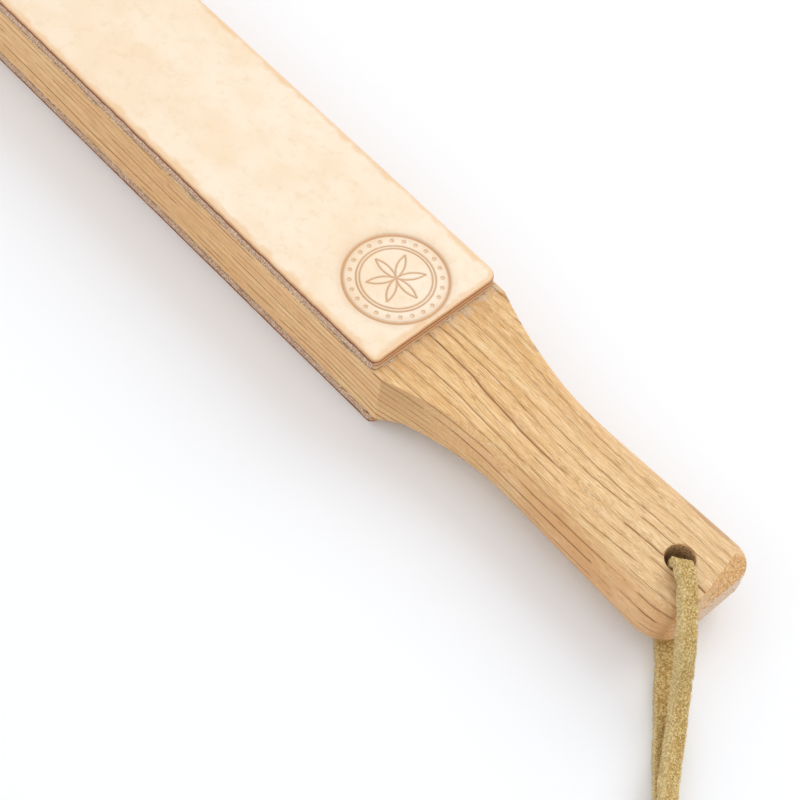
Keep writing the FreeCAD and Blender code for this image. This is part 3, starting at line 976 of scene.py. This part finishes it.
def oiled_oak():
    """Oak sawn near the edge of the log: wavy rings on its faces, finer straight ones on its sides.

    The pores of the early wood are long thin dark lines on the faces and sides, and dots on the ends."""
    oak = Finish("oiled_oak")
    drift = oak.clouds((85, 22, 22), 1.0, output="Color")
    warp = oak.vector("MULTIPLY", oak.vector("SUBTRACT", drift, (0.5, 0.5, 0.5)), (0, 7, 7))
    tremble = oak.clouds((9, 3, 3), 2.0, output="Color")
    tremble = oak.vector("MULTIPLY", oak.vector("SUBTRACT", tremble, (0.5, 0.5, 0.5)), (0, 0.5, 0.5))
    grain = oak.vector("ADD", oak.vector("ADD", oak.place, warp), tremble)
    x, y, z = oak.split(grain)
    from_pith = oak.vector("LENGTH", oak.join(0.0, oak.math("ADD", y, 105.0), oak.math("ADD", z, 118.0)))
    uneven = oak.clouds((5, 5, 5), 1.0, place=oak.join(from_pith, 0.0, 0.0))
    ring = oak.math("ADD", oak.math("DIVIDE", from_pith, 2.1), oak.math("MULTIPLY", uneven, 1.8))
    phase = oak.math("FRACT", ring)
    number = oak.math("MULTIPLY", oak.math("FLOOR", ring), 7.3)
    fitful = oak.clouds((21, 1, 1), 2.0, place=oak.join(x, number, 0.0))
    weight = oak.between(oak.clouds((1, 1, 1), 0.0, place=oak.join(0.0, number, 3.0)), 0.4, 0.6, 0.45, 1.0)
    turned = oak.split(oak.node("NewGeometry").outputs["Normal"])
    facing = oak.math("ABSOLUTE", turned[0])
    side = oak.between(oak.math("ABSOLUTE", turned[1]), 0.4, 0.9)
    across = oak.between(oak.math("ABSOLUTE", turned[1]), 0.15, 0.6, 0.0, 0.1)
    line = oak.math("MULTIPLY", oak.between(phase, 0.0, 0.03), oak.between(oak.math("SUBTRACT", phase, across), 0.07, 0.12, 1.0, 0.0))
    line = oak.math("MULTIPLY", oak.math("MULTIPLY", line, weight), oak.between(fitful, 0.44, 0.50))
    early = oak.math("MULTIPLY", oak.between(phase, 0.02, 0.06), oak.between(phase, 0.12, 0.42, 1.0, 0.0))
    streak = oak.between(oak.clouds((7, 0.16, 0.16), 1.0, 0.55, grain), 0.58, 0.64)
    pores = oak.math("MAXIMUM", oak.math("MULTIPLY", early, oak.math("MULTIPLY", streak, 0.55)), line)
    stray = oak.between(oak.clouds((7, 0.2, 0.2), 1.0, place=grain), 0.66, 0.72, 0.0, 0.5)
    pores = oak.math("MAXIMUM", pores, stray)
    broad = oak.between(oak.clouds((90, 8, 8), 3.0, place=grain), 0.35, 0.65)
    colour = oak.mix(broad, (0.79, 0.455, 0.165), (0.92, 0.60, 0.27))
    paler = oak.between(oak.split(oak.place)[0], 60.0, 140.0, 0.0, 0.55)
    colour = oak.mix(paler, colour, (0.89, 0.66, 0.38))
    late = oak.between(phase, 0.5, 1.0, 0.0, 0.28)
    colour = oak.mix(late, colour, (0.64, 0.35, 0.13))
    early_tone = oak.between(phase, 0.08, 0.3, 0.3, 0.0)
    colour = oak.mix(early_tone, colour, (0.62, 0.34, 0.12))
    fibre = oak.clouds((14, 0.11, 0.11), 3.0, 0.6, grain)
    colour = oak.mix(oak.between(fibre, 0.38, 0.62, 0.55, 0.0), colour, (0.43, 0.21, 0.065))
    pale_fibre = oak.clouds((8, 0.2, 0.2), 2.0, 0.6, oak.vector("ADD", grain, (31, 7, 3)))
    colour = oak.mix(oak.between(pale_fibre, 0.5, 0.64, 0.0, 0.5), colour, (0.98, 0.78, 0.50))
    flecks = oak.between(oak.clouds((1.5, 0.2, 0.2), 1.0), 0.62, 0.72, 0.0, 0.28)
    colour = oak.mix(flecks, colour, (0.48, 0.26, 0.10))
    along, aside, height = oak.split(oak.place)
    handled = oak.between(oak.clouds((16, 6, 6), 3.0, 0.6, grain), 0.38, 0.62, 0.15, 0.6)
    colour = oak.mix(oak.math("MULTIPLY", side, handled), colour, (0.72, 0.395, 0.165))
    # Painted shade: the handle's near side, which faces away from the key light, darkened in mottled patches towards
    # its end.
    painted_shade_near_side = oak.math("MULTIPLY", oak.between(turned[1], -0.7, -0.15, 0.65, 0.0), oak.between(along, 86.0, 112.0))
    painted_shade_near_side = oak.math("MULTIPLY", painted_shade_near_side, oak.between(handled, 0.15, 0.6, 0.55, 1.0))
    colour = oak.mix(painted_shade_near_side, colour, (0.62, 0.30, 0.105))
    pore_depth = oak.between(side, 0.0, 1.0, 0.88, 0.8)
    colour = oak.mix(oak.math("MULTIPLY", pores, pore_depth), colour, (0.25, 0.095, 0.022))
    smear = oak.math("MULTIPLY", oak.between(along, 50.0, 53.2, 1.0, 0.0), oak.between(aside, -4.0, 12.0, 0.2, 0.65))
    smear = oak.math("MULTIPLY", smear, oak.between(oak.clouds((1.6, 2.6, 2.0), 3.0, 0.6), 0.42, 0.56))
    smear = oak.math("MULTIPLY", smear, oak.between(turned[2], 0.5, 0.9))
    colour = oak.mix(smear, colour, (0.70, 0.57, 0.42))
    # Painted shade on the sides just past the shoulder, deepest near the upper edge and fading towards the waist.
    painted_shade_below_edge = oak.math("MULTIPLY", oak.between(along, 51.7, 52.3), oak.between(along, 56.0, 78.0, 1.0, 0.0))
    painted_shade_below_edge = oak.math("MULTIPLY", painted_shade_below_edge, oak.between(height, 8.0, 21.0, 0.15, 0.45))
    colour = oak.mix(oak.math("MULTIPLY", painted_shade_below_edge, side), colour, (0.42, 0.235, 0.09))
    near_corner = oak.between(aside, -15.0, -8.0, 0.32, 0.0)
    end = oak.between(oak.math("SUBTRACT", facing, near_corner), 0.40, 0.55)
    speck = oak.between(oak.cells((0.5, 0.42, 0.42)), 0.12, 0.45, 1.0, 0.0)
    ends = oak.mix(oak.math("MULTIPLY", speck, 0.62), (0.70, 0.38, 0.14), (0.33, 0.13, 0.04))
    blotch = oak.clouds((0.7, 0.7, 0.7), 2.0)
    ends = oak.mix(oak.between(blotch, 0.48, 0.62, 0.0, 0.6), ends, (0.90, 0.62, 0.33))
    # Painted reflection: the handle's square end face paled towards greyish white, as if it reflected the white
    # surround; below it is also made a little glossier.
    square_end_painted_reflection = oak.math("MULTIPLY", oak.between(facing, 0.8, 0.99), oak.between(along, 100.0, 110.0))
    ends = oak.mix(oak.math("MULTIPLY", square_end_painted_reflection, 0.4), ends, (0.70, 0.53, 0.37))
    rubbed = oak.between(oak.clouds((4, 4, 4), 2.0), 0.4, 0.6, 0.35, 0.75)
    patch = oak.math("MULTIPLY", oak.between(along, 145.5, 150.0), oak.between(aside, -12.0, -8.5, 1.0, 0.0))
    colour = oak.mix(oak.math("MULTIPLY", patch, rubbed), colour, (0.40, 0.20, 0.085))
    colour = oak.mix(end, colour, ends)
    rough = oak.math("SUBTRACT", oak.between(pores, 0.0, 1.0, 0.42, 0.75), oak.math("MULTIPLY", square_end_painted_reflection, 0.2))
    relief = oak.bump(oak.math("MULTIPLY", pores, -1.0), 0.07 * MM)
    relief = oak.bump(fibre, 0.035 * MM, relief)
    relief = oak.bump(oak.math("MULTIPLY", speck, oak.math("MULTIPLY", end, -1.0)), 0.15 * MM, relief)
    return oak.finish(colour, rough, relief, IOR=1.46)


def bored_oak():
    """The hole's wall: end and side grain torn by the drill, darkened by oil and handling."""
    wall = Finish("bored_oak")
    torn = wall.clouds((1.6, 0.5, 0.35), 3.0, 0.6)
    colour = wall.mix(wall.between(torn, 0.35, 0.65), (0.22, 0.11, 0.04), (0.86, 0.58, 0.30))
    shreds = wall.between(wall.clouds((2.2, 0.25, 0.25), 2.0, 0.6), 0.54, 0.66, 0.0, 0.75)
    colour = wall.mix(shreds, colour, (0.98, 0.76, 0.46))
    relief = wall.bump(torn, 0.25 * MM)
    return wall.finish(colour, 0.72, wall.bump(shreds, 0.15 * MM, relief))


def tanned_leather(name, face, warm_face, nap):
    """Thick vegetable-tanned leather: its face, the burnished rim and the granular cut edge.

    The attribute "rim" runs from 0 on the face, over the rim at 1, to 2 at the foot of the wall."""
    hide = Finish(name)
    rim = hide.attribute("rim")
    inward = hide.attribute("inward")
    pressed = hide.attribute("pressed")
    facing = hide.math("ABSOLUTE", hide.split(hide.node("NewGeometry").outputs["Normal"])[0])
    across = hide.between(facing, 0.55, 0.85)
    mottle = hide.between(hide.clouds((34, 26, 26), 3.0, 0.55), 0.35, 0.68)
    colour = hide.mix(mottle, face, warm_face)
    freckle = hide.between(hide.clouds((2.4, 2.4, 2.4), 3.0, 0.6), 0.5, 0.75, 0.0, 0.24)
    colour = hide.mix(freckle, colour, (0.76, 0.50, 0.26))
    blotch = hide.between(hide.clouds((9, 7, 7), 3.0, 0.6), 0.42, 0.7, 0.0, 0.22)
    colour = hide.mix(blotch, colour, (0.84, 0.60, 0.36))
    pore = hide.between(hide.cells((0.42, 0.42, 0.42)), 0.05, 0.22, 1.0, 0.0)
    sparse = hide.between(hide.clouds((5, 5, 5), 2.0), 0.5, 0.62)
    pore = hide.math("MULTIPLY", pore, sparse)
    colour = hide.mix(hide.math("MULTIPLY", pore, 0.4), colour, (0.62, 0.40, 0.22))
    blush_edge = hide.math("ADD", inward, hide.between(hide.clouds((5, 5, 5), 2.0), 0.3, 0.7, -0.7, 0.7))
    colour = hide.mix(hide.between(blush_edge, 0.8, 2.6, 0.6, 0.0), colour, (0.80, 0.49, 0.23))
    colour = hide.mix(hide.math("MULTIPLY", pressed, 0.78), colour, (0.56, 0.26, 0.075))
    wander = hide.between(hide.clouds((3, 3, 3), 3.0, 0.6), 0.3, 0.7, -0.07, 0.07)
    wander = hide.math("MULTIPLY", wander, hide.between(across, 0.0, 1.0, 1.0, 0.35))
    waver = hide.math("ADD", rim, wander)
    colour = hide.mix(hide.between(waver, 0.3, 0.6), colour, (0.64, 0.34, 0.15))
    burnt_foot = hide.math("SUBTRACT", waver, hide.between(across, 0.0, 1.0, 0.12, 0.0))
    burnt = hide.math("MULTIPLY", hide.between(waver, 0.72, 0.82), hide.between(burnt_foot, 0.98, 1.08, 1.0, 0.0))
    colour = hide.mix(hide.math("MULTIPLY", burnt, 0.93), colour, (0.22, 0.07, 0.035))
    grit = hide.clouds((0.45, 0.4, 0.4), 3.0, 0.75)
    cut = hide.mix(hide.between(grit, 0.38, 0.62), (0.42, 0.19, 0.085), (0.98, 0.71, 0.50))
    fluff = hide.between(hide.cells((0.5, 0.46, 0.46)), 0.1, 0.34, 1.0, 0.0)
    cut = hide.mix(hide.math("MULTIPLY", fluff, 0.6), cut, (0.96, 0.82, 0.68))
    pits = hide.between(hide.clouds((0.55, 0.5, 0.5), 2.0), 0.6, 0.7, 0.0, 0.7)
    cut = hide.mix(pits, cut, (0.27, 0.11, 0.06))
    low_line = hide.math("MULTIPLY", hide.between(waver, 1.32, 1.42), hide.between(waver, 1.48, 1.6, 1.0, 0.0))
    polished = hide.mix(hide.between(waver, 1.3, 1.7), (0.66, 0.33, 0.13), (0.76, 0.48, 0.26))
    polished = hide.mix(hide.math("MULTIPLY", low_line, 0.85), polished, (0.27, 0.09, 0.04))
    polished = hide.mix(hide.between(grit, 0.4, 0.7, 0.0, 0.3), polished, (0.86, 0.58, 0.34))
    cut = hide.mix(across, cut, polished)
    colour = hide.mix(hide.between(burnt_foot, 0.99, 1.12), colour, cut)
    colour = hide.mix(hide.between(waver, 1.82, 1.98, 0.0, 0.8), colour, (0.22, 0.09, 0.045))
    wall = hide.between(rim, 0.9, 1.1)
    rough = hide.math("ADD", hide.between(mottle, 0.0, 1.0, 0.5, 0.56), hide.math("MULTIPLY", wall, 0.28))
    pebble = hide.cells((0.7, 0.7, 0.7), "SMOOTH_F1")
    relief = hide.bump(pebble, 0.03 * MM + nap)
    relief = hide.bump(hide.clouds((0.16, 0.16, 0.16), 2.0), 0.02 * MM + nap, relief)
    rough_wall = hide.math("MULTIPLY", grit, hide.math("MULTIPLY", wall, hide.between(across, 0.0, 1.0, 1.0, 0.3)))
    relief = hide.bump(rough_wall, 0.6 * MM, relief)
    return hide.finish(colour, rough, relief, Sheen_Weight=0.06, Sheen_Roughness=0.5)


def dried_glue():
    """Contact glue that has set in a dull, dirty bead."""
    glue = Finish("dried_glue")
    dirt = glue.clouds((0.8, 0.8, 0.8), 3.0, 0.6)
    colour = glue.mix(glue.between(dirt, 0.38, 0.62), (0.38, 0.23, 0.12), (0.70, 0.54, 0.36))
    grit = glue.between(glue.clouds((0.25, 0.25, 0.25), 2.0), 0.58, 0.7, 0.0, 0.7)
    colour = glue.mix(grit, colour, (0.86, 0.78, 0.64))
    return glue.finish(colour, 0.4, glue.bump(dirt, 0.12 * MM))


def suede_nap():
    """Khaki split suede: a short, uneven nap on its faces, paler where it was cut."""
    suede = Finish("suede_nap")
    cut = suede.attribute("cut")
    patch = suede.clouds((2.6, 2.6, 2.6), 3.0, 0.6)
    nap = suede.clouds((0.26, 0.26, 0.26), 2.0, 0.7)
    tuft = suede.clouds((0.55, 0.55, 0.55), 2.0, 0.65)
    colour = suede.mix(suede.between(patch, 0.35, 0.65), (0.63, 0.39, 0.10), (0.77, 0.55, 0.195))
    colour = suede.mix(suede.between(nap, 0.40, 0.50, 0.85, 0.0), colour, (0.27, 0.13, 0.025))
    colour = suede.mix(suede.between(tuft, 0.38, 0.48, 0.5, 0.0), colour, (0.36, 0.185, 0.035))
    colour = suede.mix(suede.between(tuft, 0.5, 0.6, 0.0, 0.65), colour, (0.95, 0.79, 0.42))
    colour = suede.mix(suede.math("MULTIPLY", cut, 0.2), colour, (0.88, 0.74, 0.45))
    relief = suede.bump(nap, 0.3 * MM)
    relief = suede.bump(tuft, 0.3 * MM, relief)
    return suede.finish(colour, 0.92, relief, Sheen_Weight=0.14, Sheen_Roughness=0.45,
                        Sheen_Tint=(0.95, 0.85, 0.6))


# ---------------------------------------------------------------- scene

def camera():
    """A long lens above the handle's lower side, turned a little about its own axis."""
    azimuth = math.radians(38.337)
    elevation = math.radians(56.889)
    roll = math.radians(10.618)
    back = Vector((math.sin(azimuth) * math.cos(elevation), -math.cos(azimuth) * math.cos(elevation),
                   math.sin(elevation)))
    level = Vector((math.cos(azimuth), math.sin(azimuth), 0.0))
    upright = back.cross(level)
    right = level * math.cos(roll) + upright * math.sin(roll)
    top = upright * math.cos(roll) - level * math.sin(roll)
    anchor = Vector((leather_high.x, 0.0, leather_high.z))
    place = anchor - right * 0.010005 - top * 0.021374 + back * 0.57515
    lens = bpy.data.cameras.new("camera")
    lens.lens = 99.1
    lens.clip_start = 0.01
    view = bpy.data.objects.new("camera", lens)
    view.matrix_world = Matrix((
        (right.x, top.x, back.x, place.x),
        (right.y, top.y, back.y, place.y),
        (right.z, top.z, back.z, place.z),
        (0, 0, 0, 1),
    ))
    bpy.context.scene.collection.objects.link(view)
    bpy.context.scene.camera = view


def area_light(name, place, target, size, power, colour=(1.0, 1.0, 1.0)):
    light = bpy.data.lights.new(name, "AREA")
    light.shape = "SQUARE"
    light.size = size
    light.energy = power
    light.color = colour
    lamp = bpy.data.objects.new(name, light)
    lamp.location = place
    lamp.rotation_euler = (Vector(target) - Vector(place)).to_track_quat("-Z", "Y").to_euler()
    bpy.context.scene.collection.objects.link(lamp)


def studio():
    """A white floor, a white surround and one large soft light beyond the object."""
    half = 3.0
    mesh = bpy.data.meshes.new("floor")
    mesh.from_pydata([(-half, -half, 0), (half, -half, 0), (half, half, 0), (-half, half, 0)], [], [(0, 1, 2, 3)])
    floor = bpy.data.objects.new("floor", mesh)
    bpy.context.scene.collection.objects.link(floor)
    paint = bpy.data.materials.new("floor_white")
    paint.use_nodes = True
    shader = paint.node_tree.nodes["Principled BSDF"]
    shader.inputs["Base Color"].default_value = (0.92, 0.93, 0.948, 1)
    shader.inputs["Roughness"].default_value = 0.9
    mesh.materials.append(paint)
    world = bpy.data.worlds.new("surround")
    world.use_nodes = True
    world.node_tree.nodes["Background"].inputs["Color"].default_value = (0.965, 0.98, 1.0, 1)
    world.node_tree.nodes["Background"].inputs["Strength"].default_value = 0.915
    bpy.context.scene.world = world
    area_light("window", (0.15, 0.75, 0.75), (0.0, 0.0, 0.0), 0.8, 3.6, (1.0, 0.98, 0.95))
    area_light("white_card", (-0.25, -0.85, 0.45), (0.0, 0.0, 0.0), 0.8, 0.9, (0.97, 0.985, 1.0))
    bpy.context.scene.view_settings.view_transform = "Standard"


camera()
studio()

oak = oak_paddle()
oak.data.materials.append(oiled_oak())
oak.data.materials.append(bored_oak())
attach(oak, "root")
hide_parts("oak_paddle")

upper = strap("stropping_leather", "top_leather", True)
upper.data.materials.append(tanned_leather("grain_leather", (0.915, 0.775, 0.605), (0.90, 0.71, 0.505), 0.0))
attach(upper, "root")
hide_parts("top_leather")

lower = strap("rough_leather", "bottom_leather", False)
lower.data.materials.append(tanned_leather("flesh_leather", (0.74, 0.52, 0.33), (0.66, 0.44, 0.26), 0.10 * MM))
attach(lower, "root")
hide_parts("bottom_leather")

glue = dried_glue()
glue_low, glue_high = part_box("top_glue_film")
under_low, under_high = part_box("bottom_glue_film")
beading = bead_tree()
for name, strap_node, film_node, seed in (("upper_glue", "top_leather", "top_glue_film", 7),
                                          ("lower_glue", "bottom_leather", "bottom_glue_film", 11)):
    film_low, film_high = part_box(film_node)
    film = glue_line(name, strap_node, film_node)
    film.data.materials.append(glue)
    beads = glue_beads(name + "_beads", strap_node, (film_low.z + film_high.z) / 2, beading, glue, seed)
    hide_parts(film_node)
    for piece in (film, beads):
        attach(piece, "root")

suede = suede_nap()
fibres = fuzz_tree()
tied = tied_knot()
tied.data.materials.append(suede)
tied = grown(tied, fibres, {"Seed": 5, "Finish": suede})
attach(tied, "root")
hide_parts("lanyard_knot")

line = lace_line()
route = finer(line, 0.4 * MM)
twists = [LACE_TWIST * smooth((index / len(route) - 0.5) / 0.1) for index in range(len(route))]
lace = strip("suede_lace", route, twists, LACE_WIDTH, LACE_THICKNESS, 10, 0.3 * MM)
lace.data.materials.append(suede)
lace = grown(lace, fibres, {"Seed": 3, "Finish": suede})
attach(lace, "root")
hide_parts("lanyard_lace")

bpy.context.view_layer.update()
